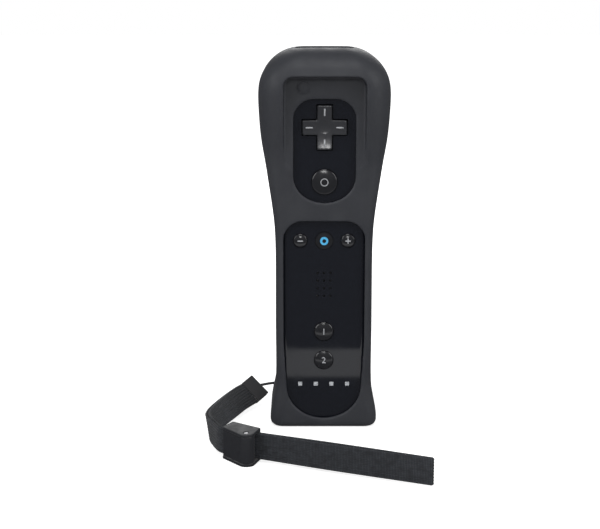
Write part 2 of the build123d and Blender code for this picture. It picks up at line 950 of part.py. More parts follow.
def make_mat(name, half, low, high, domes, openings):
    """A rubber mat on the board with a hollow-looking dome under each button."""
    with BuildPart() as mat:
        block(-half, half, -board_front - mat_thick, -board_front, low, high)
        mat_face = -board_front - mat_thick
        for x, z, size, rise in domes:
            rod(x, z, size, mat_face - rise, mat_face)
        rims = mat.edges().filter_by(GeomType.CIRCLE)
        fillet([rim for rim in rims if rim.center().Y < mat_face - dome_round], dome_round)
        for x, z, size in openings:
            rod(x, z, size, -board_front - overrun, -board_front, Mode.SUBTRACT)
    keep(mat, name)


upper_half = pad_flange / 2
pad_dome = pad_arm * dome_share * 2
pad_dome_offset = pad_span * dome_share
make_mat(
    "upper_keymat",
    upper_half,
    a_height - a_size,
    upper_screw_height - fit,
    [(0, a_height, a_size * dome_share * 2, dome_high)]
    + [(side * pad_dome_offset, pad_height, pad_dome, pad_dome_high) for side in (-1, 1)]
    + [(0, pad_height + side * pad_dome_offset, pad_dome, pad_dome_high) for side in (-1, 1)],
    [(x, z, shoulder_size + 2 * fit) for x, z in screw_places] + [(0, pad_height, pad_stem + 2 * fit)],
)
make_mat(
    "middle_keymat",
    side_button_offset + minus_size / 2,
    middle_height - home_size / 2,
    middle_height + home_size / 2,
    [
        (x, middle_height, minus_size * dome_share * 2, dome_high)
        for x in (-side_button_offset, 0, side_button_offset)
    ],
    [],
)
make_mat(
    "lower_keymat",
    number_size,
    two_height - number_size * dome_share * 2,
    one_height + number_size * dome_share * 2,
    [(0, z, number_size * dome_share * 2, dome_high) for z in (one_height, two_height)],
    [],
)

with BuildPart() as gyro_board:
    gyro_near = -board_back + gyro_gap
    block(-gyro_width / 2, gyro_width / 2, gyro_near, gyro_near + gyro_thick, gyro_low, gyro_high)
    chip_near = gyro_near + gyro_thick
    chip_middle = (gyro_low + gyro_high) / 2
    half = gyro_chip / 2
    block(-half, half, chip_near, chip_near + chip_thick, chip_middle - half, chip_middle + half)
    with BuildSketch(Plane.XZ.offset(board_back)) as pins:
        with Locations((0, gyro_low + header_spacing / 2)):
            with GridLocations(header_spacing, header_spacing, header_pins, 1):
                Rectangle(header_pin, header_pin)
    extrude(pins.sketch, amount=-gyro_gap)
keep(gyro_board, "gyro_board")

with BuildPart() as radio_shield:
    block(-radio_width / 2, radio_width / 2, -board_back, -board_back + radio_thick, radio_low, radio_high)
    fillet(radio_shield.faces().sort_by(Axis.Y)[-1].edges(), radio_thick / 4)
keep(radio_shield, "radio_shield")

with BuildPart() as battery_cells:
    for side in (-1, 1):
        flip = side < 0
        body_low = cell_low + (cell_nub_high if flip else 0)
        nub_low = cell_low if flip else cell_low + cell_length
        with BuildSketch(Plane.XY.offset(body_low)) as cell_outline:
            with Locations((side * cell_spacing / 2, cell_centre)):
                Circle(cell_diameter / 2)
        extrude(cell_outline.sketch, amount=cell_length)
        with BuildSketch(Plane.XY.offset(nub_low)) as nub_outline:
            with Locations((side * cell_spacing / 2, cell_centre)):
                Circle(cell_nub / 2)
        extrude(nub_outline.sketch, amount=cell_nub_high)
keep(battery_cells, "battery_cells")

with BuildPart() as battery_contacts:
    for side in (-1, 1):
        for low, rise in ((bay_low, 1), (bay_high - contact_thick, -1)):
            x = side * cell_spacing / 2
            half = contact_width / 2
            block(x - half, x + half, cell_centre - half, cell_centre + half, low, low + contact_thick)
            bump_face = low + contact_thick if rise > 0 else low
            with BuildSketch(Plane.XY.offset(bump_face)) as bump_outline:
                with Locations((x, cell_centre)):
                    Circle(contact_dome / 2)
            extrude(bump_outline.sketch, amount=rise * (contact_gap - contact_thick - running_fit))
keep(battery_contacts, "battery_contacts")

with BuildPart() as sync_button:
    sync_height = lower_screw_height + shelf_thick
    rod(0, sync_height, sync_size, shelf_depth, shelf_depth + shelf_thick + sync_high)
    rod(0, sync_height, sync_size + 2 * sync_flange, shelf_depth - sync_flange, shelf_depth)
keep(sync_button, "sync_button")

with BuildPart() as case_screws:
    for x, z in screw_places:
        rod(x, z, screw_head, screw_seat, screw_seat + screw_head_thick)
        rod(x, z, screw_shank, -screw_reach, screw_seat)
        head_top = screw_seat + screw_head_thick
        rod(x, z, screw_shank, head_top - screw_head_thick / 2, head_top, Mode.SUBTRACT)
keep(case_screws, "case_screws")

with BuildPart() as b_trigger:
    with BuildSketch(Plane.YZ.offset(-trigger_half)) as trigger_profile:
        with BuildLine():
            ThreePointArc(
                (trigger_top_depth, trigger_top_height),
                (trigger_scoop_depth, trigger_scoop_height),
                (trigger_tip_depth, trigger_tip_height),
            )
            Line(
                (trigger_tip_depth, trigger_tip_height),
                (trigger_tip_depth - trigger_thick, trigger_tip_height),
            )
            ThreePointArc(
                (trigger_tip_depth - trigger_thick, trigger_tip_height),
                (trigger_scoop_depth - trigger_thick, trigger_scoop_height),
                (trigger_top_depth - trigger_thick, trigger_top_height),
            )
            Line(
                (trigger_top_depth - trigger_thick, trigger_top_height),
                (trigger_top_depth, trigger_top_height),
            )
        make_face()
    extrude(trigger_profile.sketch, amount=trigger_width)
    fillet(b_trigger.edges().filter_by(Axis.X).group_by(Axis.Z)[0], trigger_thick / 3)
    cross_rod(trigger_pivot_depth, trigger_pivot_height, trigger_boss, -trigger_half, trigger_half)
    block(
        -trigger_half,
        trigger_half,
        trigger_pivot_depth,
        trigger_top_depth - trigger_thick / 2,
        trigger_pivot_height - trigger_boss / 2,
        trigger_pivot_height + trigger_boss / 4,
    )
    half = plunger_width / 2
    plunger_back = trigger_scoop_depth - trigger_thick / 2
    block(-half, half, plunger_reach, plunger_back, plunger_height - half, plunger_height + half)
    cross_rod(
        trigger_pivot_depth,
        trigger_pivot_height,
        trigger_pin_size + 2 * running_fit,
        -trigger_half,
        trigger_half,
        Mode.SUBTRACT,
    )
keep(b_trigger, "b_trigger")

with BuildPart() as trigger_pin:
    cross_rod(trigger_pivot_depth, trigger_pivot_height, trigger_pin_size, -pin_reach, pin_reach)
keep(trigger_pin, "trigger_pin")

with BuildPart() as trigger_switch:
    half = switch_size / 2
    switch_back = -board_back + switch_rise
    block(-half, half, -board_back, switch_back, plunger_height - half, plunger_height + half)
    rod(0, plunger_height, switch_dome, switch_back, switch_back + switch_dome_rise)
    fillet(trigger_switch.edges().filter_by(GeomType.CIRCLE).group_by(Axis.Y)[-1], switch_dome_rise / 2)
keep(trigger_switch, "trigger_switch")

with BuildPart() as rumble_motor:
    cross_rod(motor_depth, motor_height, motor_size, -motor_left, -motor_left + motor_length)
    fillet(rumble_motor.edges(), motor_shaft / 2)
    motor_right = -motor_left + motor_length
    weight_left = motor_right + weight_gap
    cross_rod(motor_depth, motor_height, motor_shaft, motor_right, weight_left + weight_thick)
keep(rumble_motor, "rumble_motor")

with BuildPart() as rumble_weight:
    cross_rod(motor_depth, motor_height, 2 * weight_radius, weight_left, weight_left + weight_thick)
    block(
        weight_left,
        weight_left + weight_thick,
        motor_depth - weight_radius,
        motor_depth + weight_radius,
        motor_height,
        motor_height + weight_radius,
        Mode.SUBTRACT,
    )
    cross_rod(motor_depth, motor_height, 2 * weight_hub, weight_left, weight_left + weight_thick)
    cross_rod(
        motor_depth,
        motor_height,
        motor_shaft + 2 * running_fit,
        weight_left,
        weight_left + weight_thick,
        Mode.SUBTRACT,
    )
keep(rumble_weight, "rumble_weight")

with BuildPart() as ir_camera:
    half = camera_width / 2
    camera_top = camera_low + camera_body_high
    block(-half, half, -board_back, -board_back + camera_depth, camera_low, camera_top)
    with BuildSketch(Plane.XY.offset(camera_top)) as lens_outline:
        with Locations((0, pointer_window_centre)):
            Circle(camera_lens / 2)
    extrude(lens_outline.sketch, amount=camera_lens_high)
keep(ir_camera, "ir_camera")

with BuildPart() as ir_window:
    pointer_window(case_high - shell, case_high - fit, 0, Mode.ADD)
keep(ir_window, "ir_window")

with BuildPart() as expansion_connector:
    bar(socket_width, socket_depth, case_low, case_low + socket_high, socket_corner)
    bar(
        socket_width + 2 * socket_flange,
        socket_depth + 2 * socket_flange,
        case_low + shell,
        case_low + shell + socket_flange_thick,
        socket_corner + socket_flange,
    )
    bar(
        socket_width - 2 * socket_wall,
        socket_depth - 2 * socket_wall,
        case_low,
        case_low + socket_cavity_high,
        socket_corner - socket_wall / 2,
        Mode.SUBTRACT,
    )
    for step in range(socket_contacts):
        x = (step - (socket_contacts - 1) / 2) * socket_contact_pitch
        wall_face = socket_depth / 2 - socket_wall
        block(
            x - socket_contact,
            x + socket_contact,
            wall_face - socket_contact_thick,
            wall_face,
            case_low + shell,
            case_low + socket_cavity_high,
        )
keep(expansion_connector, "expansion_connector")


def string_radii():
    """Each corner's radius: as large as its runs allow, but the post's own where it goes round it."""
    points = [Vector(*point) for point in string_points]
    radii = []
    for before, here, after in zip(points, points[1:], points[2:]):
        turn = (here - before).get_angle(after - here)
        shorter = min((here - before).length, (after - here).length)
        radii.append(string_corner_share * shorter / tan(radians(turn) / 2))
    return radii


string_corner_radii = string_radii()
with BuildPart() as strap_string:
    with BuildLine() as string_path:
        FilletPolyline(*string_points, radius=string_corner_radii)
    with BuildSketch(Plane(string_path.line @ 0, z_dir=string_path.line % 0)):
        Circle(string_diameter / 2)
    sweep()
keep(strap_string, "strap_string")
print("string radii", [round(radius, 2) for radius in string_corner_radii])
string_length = sum(edge.length for edge in string_path.edges())
string_volume = string_length * pi * (string_diameter / 2) ** 2
print("string volume", round(strap_string.part.volume, 2), "section times length", round(string_volume, 2))
print("string length", round(string_length, 2))


tab_forward = Vector(
    cos(radians(tab_heading)) * cos(radians(tab_slope)),
    sin(radians(tab_heading)) * cos(radians(tab_slope)),
    sin(radians(tab_slope)),
)
upright_start = Vector(*webbing_places[-1])
upright_forward = (Vector(webbing_bend[0], webbing_bend[1], upright_start.Z) - upright_start).normalized()
with BuildLine() as curved_route:
    Spline(*webbing_places, tangents=(tab_forward, upright_forward))


def webbing_plane(share):
    """The plane across the curved stretch: its X runs down the leaning width, its Z along the webbing."""
    forward = curved_route.line % share
    side = Vector(0, 0, 1).cross(forward).normalized()
    upright = forward.cross(side)
    lean = radians(tab_lean * (1 - share))
    down = side * sin(lean) - upright * cos(lean)
    return Plane(origin=curved_route.line @ share, x_dir=down, z_dir=forward)


def webbing_faces(thick, wide):
    """Cross-sections of the curved stretch."""
    faces = []
    for step in range(webbing_sections):
        with BuildSketch(webbing_plane(step / (webbing_sections - 1))) as section:
            Rectangle(wide, thick)
        faces.append(section.sketch.faces()[0])
    return faces


def webbing_run(thick, wide, end, mode):
    """The upright stretch through the lock, swept along its plan route."""
    place = webbing_places[-1]
    with BuildLine() as path:
        FilletPolyline(
            place,
            (webbing_bend[0], webbing_bend[1], place[2]),
            (end[0], end[1], place[2]),
            radius=webbing_bend_radius,
        )
    start_plane = Plane(origin=place, x_dir=(0, 0, -1), z_dir=path.line % 0)
    with BuildSketch(start_plane) as section:
        Rectangle(wide, thick)
    sweep(section.sketch, path=path.line, mode=mode)


slit_end = (
    webbing_end[0] - webbing_layer * along_x,
    webbing_end[1] - webbing_layer * along_y,
)
slit_width = webbing_width + 2 * overrun
with BuildPart() as wrist_webbing:
    loft(webbing_faces(webbing_thick, webbing_width))
    webbing_run(webbing_thick, webbing_width, webbing_end, Mode.ADD)
    loft(webbing_faces(webbing_gap, slit_width), mode=Mode.SUBTRACT)
    webbing_run(webbing_gap, slit_width, slit_end, Mode.SUBTRACT)
keep(wrist_webbing, "wrist_webbing")

tab_start = (Vector(*string_points[0]) + Vector(*string_points[-1])) / 2
tab_length = (Vector(*webbing_places[0]) - tab_start).length
with BuildPart() as string_tab:
    with BuildSketch(webbing_plane(0)) as tab_section:
        Rectangle(webbing_width + 2 * tab_margin, tab_thick)
    extrude(tab_section.sketch, amount=-tab_length)
    tab_ends = string_tab.faces().sort_by(Axis(webbing_places[0], tab_forward))
    fillet(tab_ends[0].edges(), tab_edge)
keep(string_tab, "string_tab")

lock_plane = Plane(origin=(lock_x, lock_y, 0), x_dir=(along_x, along_y, 0), z_dir=(0, 0, 1))


def lock_outline(rim):
    """The lock's wedge outline: round the cam nose, the tail and the two heels."""
    with Locations((cam_forward, cam_back)):
        Circle(cam_radius + rim)
    with Locations((tail_forward, tail_back)):
        Circle(tail_radius + rim)
    with Locations((heel_forward_left, heel_back_left), (heel_forward_right, heel_back_right)):
        Circle(heel_radius)
    make_hull()


with BuildPart() as lock_frame:
    for low in (0, lock_high - lock_plate):
        with BuildSketch(lock_plane.offset(low)) as plate_outline:
            lock_outline(lock_rim)
        extrude(plate_outline.sketch, amount=lock_plate)
    fillet(lock_frame.edges().group_by(Axis.Z)[-1], lock_edge)
    with BuildSketch(lock_plane) as cheek_outline:
        lock_outline(lock_rim)
        with Locations((0, lock_slot / 2 + overrun)):
            Rectangle(4 * overrun, 2 * overrun, mode=Mode.INTERSECT)
    extrude(cheek_outline.sketch, amount=lock_high)
    with BuildSketch(lock_plane) as pin_hole:
        with Locations((cam_forward, cam_back)):
            Circle(lock_pin_size / 2 + running_fit)
    extrude(pin_hole.sketch, amount=lock_high, mode=Mode.SUBTRACT)
keep(lock_frame, "lock_frame")

lever_low = lock_plate + lock_lever_gap
with BuildPart() as lock_lever:
    with BuildSketch(lock_plane.offset(lever_low)) as lever_outline:
        with Locations((cam_forward, cam_back)):
            Circle(cam_radius)
        with Locations((tail_forward, tail_back)):
            Circle(tail_radius)
        make_hull()
    extrude(lever_outline.sketch, amount=lock_high - 2 * lever_low)
    with BuildSketch(lock_plane) as bore:
        with Locations((cam_forward, cam_back)):
            Circle(lock_pin_size / 2 + running_fit)
    extrude(bore.sketch, amount=lock_high, mode=Mode.SUBTRACT)
keep(lock_lever, "lock_lever")

with BuildPart() as lock_pin:
    with BuildSketch(lock_plane.offset(lock_pin_recess)) as pin_outline:
        with Locations((cam_forward, cam_back)):
            Circle(lock_pin_size / 2)
    extrude(pin_outline.sketch, amount=lock_high - 2 * lock_pin_recess)
keep(lock_pin, "lock_pin")

pin_place = lock_plane.from_local_coords((cam_forward, cam_back, 0))
print("lock centre", round(lock_x, 3), round(lock_y, 3), "along", round(along_x, 6), round(along_y, 6))
print("lock pin", round(pin_place.X, 3), round(pin_place.Y, 3))
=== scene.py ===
import json
from math import cos, exp, pi, radians, sin, sqrt

import bmesh
import bpy
from mathutils import Matrix, Vector

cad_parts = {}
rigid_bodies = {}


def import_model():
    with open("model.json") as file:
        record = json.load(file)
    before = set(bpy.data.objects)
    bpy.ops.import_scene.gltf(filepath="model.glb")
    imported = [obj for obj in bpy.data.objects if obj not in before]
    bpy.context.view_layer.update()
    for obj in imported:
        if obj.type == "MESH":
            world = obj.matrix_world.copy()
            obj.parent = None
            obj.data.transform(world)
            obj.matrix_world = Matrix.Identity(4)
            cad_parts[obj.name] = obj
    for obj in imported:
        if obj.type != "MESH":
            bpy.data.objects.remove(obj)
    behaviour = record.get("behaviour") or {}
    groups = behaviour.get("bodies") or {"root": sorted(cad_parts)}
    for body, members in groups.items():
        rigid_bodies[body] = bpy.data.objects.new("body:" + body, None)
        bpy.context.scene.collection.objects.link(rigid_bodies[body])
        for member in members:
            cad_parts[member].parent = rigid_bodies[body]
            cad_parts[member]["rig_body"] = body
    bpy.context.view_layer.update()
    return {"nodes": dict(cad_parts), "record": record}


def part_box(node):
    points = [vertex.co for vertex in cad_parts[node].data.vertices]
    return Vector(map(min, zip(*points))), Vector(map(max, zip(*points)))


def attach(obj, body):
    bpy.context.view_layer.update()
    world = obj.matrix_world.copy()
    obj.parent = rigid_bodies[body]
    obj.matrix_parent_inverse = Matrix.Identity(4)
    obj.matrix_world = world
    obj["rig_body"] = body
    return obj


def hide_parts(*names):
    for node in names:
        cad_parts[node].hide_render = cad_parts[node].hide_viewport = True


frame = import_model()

# A motion controller wand in its silicone sleeve, with a wrist strap.
# Metres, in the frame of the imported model. Angles are in degrees.
mm = 0.001

# Camera, from the photograph's viewing angle; its lens and sensor are in millimetres
camera_place = (-10.12 * mm, -530 * mm, 180.43 * mm)
camera_pitch_down = 11.92
camera_lens = 75.15
camera_sensor = 36.0
camera_nearest = 10 * mm

# Strap sizes and lines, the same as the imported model's. The lines' points are in millimetres.
string_diameter = 0.9 * mm
webbing_width = 10.8 * mm
webbing_layer = 0.9 * mm
webbing_gap = 0.3 * mm
tab_lean = 47.0
tab_thick = 3.0 * mm
string_route = [
    (-28.15, 18.45, 8.2),
    (-21.55, 18.05, 9.9),
    (-16.85, 11.99, 10.4),
    (-12.55, 6.27, 10.4),
    (-10.07, 8.45, 10.4),
    (-15.20, 13.45, 10.4),
    (-21.05, 19.20, 9.9),
    (-28.15, 19.55, 8.2),
]
webbing_route = [
    (-33.1, 13.0, 6.2),
    (-36.7, 6.2, 6.2),
    (-40.3, -4.2, 6.3),
    (-44.0, -15.2, 6.4),
    (-47.3, -25.8, 6.5),
    (-48.1, -31.8, 6.55),
    (-46.9, -37.4, 6.6),
    (-44.7, -43.0, 6.65),
    (-42.1, -49.8, 6.65),
    (-35.39, -52.63, 6.65),
    (39.4, -84.2, 6.65),
]
# The webbing leans at the tab and stands upright from this point on
webbing_upright_point = 7

scene = bpy.context.scene
slots = {entry["node"]: entry["material_slot"] for entry in frame["record"]["subparts"]}


def link(thing):
    """Put a new object into the scene."""
    scene.collection.objects.link(thing)
    return thing


def make_camera():
    """The camera of the photograph."""
    data = bpy.data.cameras.new("camera")
    data.lens = camera_lens
    data.sensor_width = camera_sensor
    data.clip_start = camera_nearest
    camera = link(bpy.data.objects.new("camera", data))
    camera.location = camera_place
    camera.rotation_euler = (radians(90 - camera_pitch_down), 0, 0)
    scene.camera = camera


make_camera()


# Materials


class Nodes:
    """Builds up a node tree, node by node."""

    def __init__(self, tree):
        self.tree = tree

    def node(self, kind, **settings):
        made = self.tree.nodes.new(kind)
        for setting, value in settings.items():
            setattr(made, setting, value)
        return made

    def join(self, output, target):
        self.tree.links.new(output, target)

    def ranged(self, source, low, high, start=0.35, end=0.65):
        """A value moved from one range, by default the one where most noise lies, to another."""
        mapped = self.node("ShaderNodeMapRange")
        mapped.inputs["From Min"].default_value = start
        mapped.inputs["From Max"].default_value = end
        mapped.inputs["To Min"].default_value = low
        mapped.inputs["To Max"].default_value = high
        self.join(source, mapped.inputs["Value"])
        return mapped.outputs["Result"]

    def combined(self, operation, first, second):
        """Two values put together by one operation."""
        result = self.node("ShaderNodeMath", operation=operation)
        self.join(first, result.inputs[0])
        self.join(second, result.inputs[1])
        return result.outputs["Value"]


class Finish(Nodes):
    """A procedural material on a Principled shader."""

    def __init__(self, name, colour, roughness, **sockets):
        self.material = bpy.data.materials.new(name)
        self.material.use_nodes = True
        super().__init__(self.material.node_tree)
        self.shader = self.tree.nodes["Principled BSDF"]
        self.shader.inputs["Base Color"].default_value = (*colour, 1)
        self.shader.inputs["Roughness"].default_value = roughness
        for socket, value in sockets.items():
            self.shader.inputs[socket.replace("_", " ")].default_value = value
        self.colour = colour

    def noise(self, size, detail=3.0):
        """Noise whose features are about one size across, in metres."""
        place = self.node("ShaderNodeTexCoord")
        texture = self.node("ShaderNodeTexNoise")
        texture.inputs["Scale"].default_value = 1 / size
        texture.inputs["Detail"].default_value = detail
        self.join(place.outputs["Object"], texture.inputs["Vector"])
        return texture.outputs["Fac"]

    def waves(self, period, direction, distortion=0.0):
        """Bands of one period along the length (X) or across the width (Y) of a woven strip."""
        place = self.node("ShaderNodeTexCoord")
        texture = self.node("ShaderNodeTexWave", wave_type="BANDS", bands_direction=direction)
        # The wave texture runs through 20 radians in each unit of its scale
        texture.inputs["Scale"].default_value = 2 * pi / (20 * period)
        texture.inputs["Distortion"].default_value = distortion
        self.join(place.outputs["UV"], texture.inputs["Vector"])
        return texture.outputs["Fac"]

    def tint(self, source, other):
        """The colour varies towards another one."""
        mix = self.node("ShaderNodeMix", data_type="RGBA")
        mix.inputs["A"].default_value = (*self.colour, 1)
        mix.inputs["B"].default_value = (*other, 1)
        self.join(source, mix.inputs["Factor"])
        self.join(mix.outputs["Result"], self.shader.inputs["Base Color"])

    def tint_noise(self, size, other, detail=3.0):
        """The colour varies towards another one in soft patches."""
        self.tint(self.ranged(self.noise(size, detail), 0, 1), other)

    def rough_noise(self, size, low, high, detail=3.0):
        """The roughness varies between two values in soft patches."""
        varied = self.ranged(self.noise(size, detail), low, high)
        self.join(varied, self.shader.inputs["Roughness"])

    def bump(self, source, depth):
        """The surface seems to rise and fall by the depth."""
        bumped = self.node("ShaderNodeBump")
        bumped.inputs["Strength"].default_value = 1.0
        bumped.inputs["Distance"].default_value = depth
        self.join(source, bumped.inputs["Height"])
        self.join(bumped.outputs["Normal"], self.shader.inputs["Normal"])

    def bump_noise(self, size, depth, detail=3.0):
        """The surface seems grained."""
        self.bump(self.noise(size, detail), depth)


def silicone_finish():
    finish = Finish("silicone", (0.027, 0.0288, 0.0355), 0.5, Specular_IOR_Level=0.38)
    finish.tint_noise(18 * mm, (0.034, 0.036, 0.0425), detail=4)
    finish.rough_noise(6 * mm, 0.46, 0.58, detail=5)
    finish.bump_noise(0.25 * mm, depth=0.012 * mm, detail=2)
    return finish.material


def gloss_finish():
    finish = Finish("gloss_black", (0.008, 0.0092, 0.0135), 0.06)
    finish.rough_noise(9 * mm, 0.04, 0.09, detail=5)
    finish.bump_noise(14 * mm, depth=0.004 * mm, detail=1)
    return finish.material


def button_finish():
    finish = Finish("button_black", (0.014, 0.0145, 0.017), 0.14)
    finish.rough_noise(2 * mm, 0.12, 0.2, detail=4)
    return finish.material


def pad_finish():
    finish = Finish("pad_black", (0.03, 0.031, 0.035), 0.2)
    finish.rough_noise(1.5 * mm, 0.17, 0.25, detail=4)
    finish.bump_noise(0.3 * mm, depth=0.005 * mm, detail=2)
    return finish.material


def satin_finish():
    finish = Finish("satin_black", (0.018, 0.018, 0.021), 0.4)
    finish.rough_noise(4 * mm, 0.36, 0.46, detail=4)
    finish.bump_noise(0.3 * mm, depth=0.01 * mm, detail=2)
    return finish.material


def ring_finish():
    finish = Finish("ring_blue", (0.06, 0.42, 0.75), 0.3)
    finish.tint_noise(0.6 * mm, (0.12, 0.5, 0.8))
    return finish.material


def mark_finish():
    finish = Finish("mark_grey", (0.42, 0.43, 0.45), 0.45)
    finish.tint_noise(0.3 * mm, (0.34, 0.35, 0.37))
    return finish.material


def lens_finish():
    finish = Finish("light_lens", (0.6, 0.62, 0.64), 0.18)
    finish.tint_noise(0.8 * mm, (0.36, 0.38, 0.41))
    return finish.material


def window_finish():
    finish = Finish("dark_window", (0.006, 0.003, 0.004), 0.04, Coat_Weight=0.5)
    finish.rough_noise(6 * mm, 0.03, 0.07, detail=4)
    return finish.material


def steel_finish():
    finish = Finish("steel", (0.55, 0.55, 0.57), 0.32, Metallic=1.0)
    finish.rough_noise(0.5 * mm, 0.26, 0.4, detail=4)
    return finish.material


def contact_finish():
    finish = Finish("contact", (0.72, 0.56, 0.28), 0.3, Metallic=1.0)
    finish.rough_noise(1 * mm, 0.24, 0.38, detail=4)
    return finish.material


def board_finish():
    """Green with hard-edged tracks of a lighter green."""
    finish = Finish("board_green", (0.015, 0.11, 0.045), 0.38)
    tracks = finish.ranged(finish.noise(1.2 * mm, 2), 0, 1, start=0.48, end=0.5)
    finish.tint(tracks, (0.03, 0.19, 0.07))
    return finish.material


def chip_finish():
    finish = Finish("chip_white", (0.65, 0.67, 0.7), 0.3)
    finish.rough_noise(0.4 * mm, 0.25, 0.4)
    return finish.material


def cell_finish():
    finish = Finish("cell_grey", (0.3, 0.31, 0.33), 0.3, Metallic=0.6)
    finish.rough_noise(3 * mm, 0.24, 0.4, detail=4)
    return finish.material


def mat_finish():
    finish = Finish("mat_grey", (0.24, 0.24, 0.25), 0.6)
    finish.bump_noise(0.4 * mm, depth=0.01 * mm)
    return finish.material


def string_finish():
    finish = Finish("string_black", (0.02, 0.02, 0.023), 0.75)
    finish.bump_noise(0.35 * mm, depth=0.08 * mm, detail=2)
    return finish.material


def webbing_finish():
    """A weave of crossing threads, with painted highlights on the threads that are stronger in some
    patches.
    """
    sheen = {"Sheen_Weight": 0.15, "Sheen_Roughness": 0.4}
    finish = Finish("webbing_black", (0.009, 0.0105, 0.014), 0.8, **sheen)
    cross_threads = finish.waves(0.62 * mm, "X", distortion=0.6)
    threads = finish.combined("MULTIPLY", cross_threads, finish.waves(0.45 * mm, "Y"))
    # Painted highlights: the threads' tops are tinted lighter, more in some patches than in others
    thread_highlight_patches = finish.ranged(finish.noise(2.2 * mm, 4), 0.25, 1.4)
    thread_highlights = finish.combined("MULTIPLY", threads, thread_highlight_patches)
    finish.tint(finish.ranged(thread_highlights, 0, 1, start=0, end=1), (0.05, 0.056, 0.068))
    finish.bump(threads, depth=0.09 * mm)
    return finish.material


def tab_finish():
    """Grained synthetic leather."""
    finish = Finish("tab_black", (0.04, 0.04, 0.043), 0.55)
    finish.tint_noise(1.6 * mm, (0.042, 0.042, 0.045), detail=4)
    finish.bump_noise(0.5 * mm, depth=0.05 * mm, detail=4)
    return finish.material


def thread_finish():
    finish = Finish("thread", (0.07, 0.07, 0.075), 0.7)
    finish.bump_noise(0.15 * mm, depth=0.03 * mm)
    return finish.material


def lock_finish():
    finish = Finish("lock_black", (0.017, 0.018, 0.022), 0.45, Specular_IOR_Level=0.3)
    finish.rough_noise(3 * mm, 0.42, 0.54, detail=4)
    finish.bump_noise(0.35 * mm, depth=0.01 * mm, detail=2)
    return finish.material


# One finish for each material slot, and four that only some pieces have
finishes = {
    "silicone": silicone_finish(),
    "gloss_black": gloss_finish(),
    "satin_black": satin_finish(),
    "ring_blue": ring_finish(),
    "light_lens": lens_finish(),
    "dark_window": window_finish(),
    "steel": steel_finish(),
    "contact": contact_finish(),
    "board_green": board_finish(),
    "chip_white": chip_finish(),
    "cell_grey": cell_finish(),
    "mat_grey": mat_finish(),
    "string_black": string_finish(),
    "webbing_black": webbing_finish(),
    "tab_black": tab_finish(),
    "lock_black": lock_finish(),
}
button_black = button_finish()
pad_black = pad_finish()
mark_grey = mark_finish()
thread = thread_finish()
plain_buttons = ("home_button", "power_button")


def dress_nodes():
    """Give every carried-over node its finish."""
    for name, slot in slots.items():
        finish = button_black if name in plain_buttons else finishes[slot]
        materials = frame["nodes"][name].data.materials
        materials.clear()
        materials.append(finish)


def body_of(node):
    """The name of the body that a node rides on."""
    return frame["nodes"][node]["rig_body"]


# Meshes


def mesh_from(work, name):
    """A new mesh of the faces made so far."""
    mesh = bpy.data.meshes.new(name)
    work.to_mesh(mesh)
    work.free()
    return mesh


def outward_mesh_from(work, name):
    """A new mesh of the faces made so far, all turned outward."""
    bmesh.ops.recalc_face_normals(work, faces=work.faces)
    return mesh_from(work, name)


def join_rings(work, rings):
    """Faces between each ring of points and the next, and between the last and the first."""
    for ring, beside in zip(rings, rings[1:] + rings[:1]):
        for step in range(len(ring)):
            after = (step + 1) % len(ring)
            work.faces.new([ring[step], beside[step], beside[after], ring[after]])


def finish_piece(name, mesh, material, slot, body, *replaced):
    """Put a finished mesh into the scene on its body."""
    mesh.materials.clear()
    mesh.materials.append(material)
    mesh.shade_smooth()
    piece = link(bpy.data.objects.new(name, mesh))
    if replaced:
        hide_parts(*replaced)
    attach(piece, body)
    return piece


# Strap

line_smoothness = 24
string_smoothness = 4
webbing_step = 0.75 * mm
shortest_stretch = 1e-9


def route_curve(name, route):
    """A smooth line with the route's points as its control points."""
    data = bpy.data.curves.new(name, "CURVE")
    data.dimensions = "3D"
    data.resolution_u = line_smoothness
    spline = data.splines.new("NURBS")
    spline.points.add(len(route) - 1)
    for point, place in zip(spline.points, route):
        point.co = (*(Vector(place) * mm), 1)
    spline.order_u = 3
    spline.use_endpoint_u = True
    return link(bpy.data.objects.new(name, data))


def line_points(route):
    """Points along the route's smooth line."""
    curve = route_curve("route", route)
    mesh = bpy.data.meshes.new_from_object(curve)
    points = [vertex.co.copy() for vertex in mesh.vertices]
    bpy.data.objects.remove(curve)
    bpy.data.meshes.remove(mesh)
    return points


def travelled(places):
    """How far along a line each of its places lies."""
    lengths = [0.0]
    for before, after in zip(places, places[1:]):
        lengths.append(lengths[-1] + (after - before).length)
    return lengths


def spaced(points, step):
    """The same line with points an even step apart."""
    lengths = travelled(points)
    count = max(2, round(lengths[-1] / step))
    result = []
    index = 0
    for number in range(count + 1):
        wanted = lengths[-1] * number / count
        while index < len(points) - 2 and lengths[index + 1] < wanted:
            index += 1
        stretch = max(lengths[index + 1] - lengths[index], shortest_stretch)
        share = (wanted - lengths[index]) / stretch
        result.append(points[index].lerp(points[index + 1], min(share, 1)))
    return result


string_piece = route_curve("wrist_string", string_route)
string_piece.data.bevel_depth = string_diameter / 2
string_piece.data.bevel_resolution = string_smoothness
string_piece.data.materials.append(finishes["string_black"])
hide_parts("strap_string")
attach(string_piece, body_of("strap_string"))

webbing_line = spaced(line_points(webbing_route), webbing_step)
upright_place = Vector(webbing_route[webbing_upright_point]) * mm
lean_end = min(
    range(len(webbing_line)), key=lambda index: (webbing_line[index] - upright_place).length
)

# Each layer is ribbed along its length; its edges are rounded, down to a share of the thickness
rib_count = 9
rib_depth = 0.16 * mm
rib_steps = 6
edge_share_squared = 0.06
fold_step = 15

# Past the lock the layers stand a little apart, in a slight wave, and come closer at the loop's end
lock_far_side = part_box("lock_frame")[1].x
puff = 0.5 * mm
puff_start = 4 * mm
puff_rise = 12 * mm
puff_end_share = 0.35
puff_end_reach = 9 * mm
puff_sway = 0.4
puff_sway_reach = 14 * mm


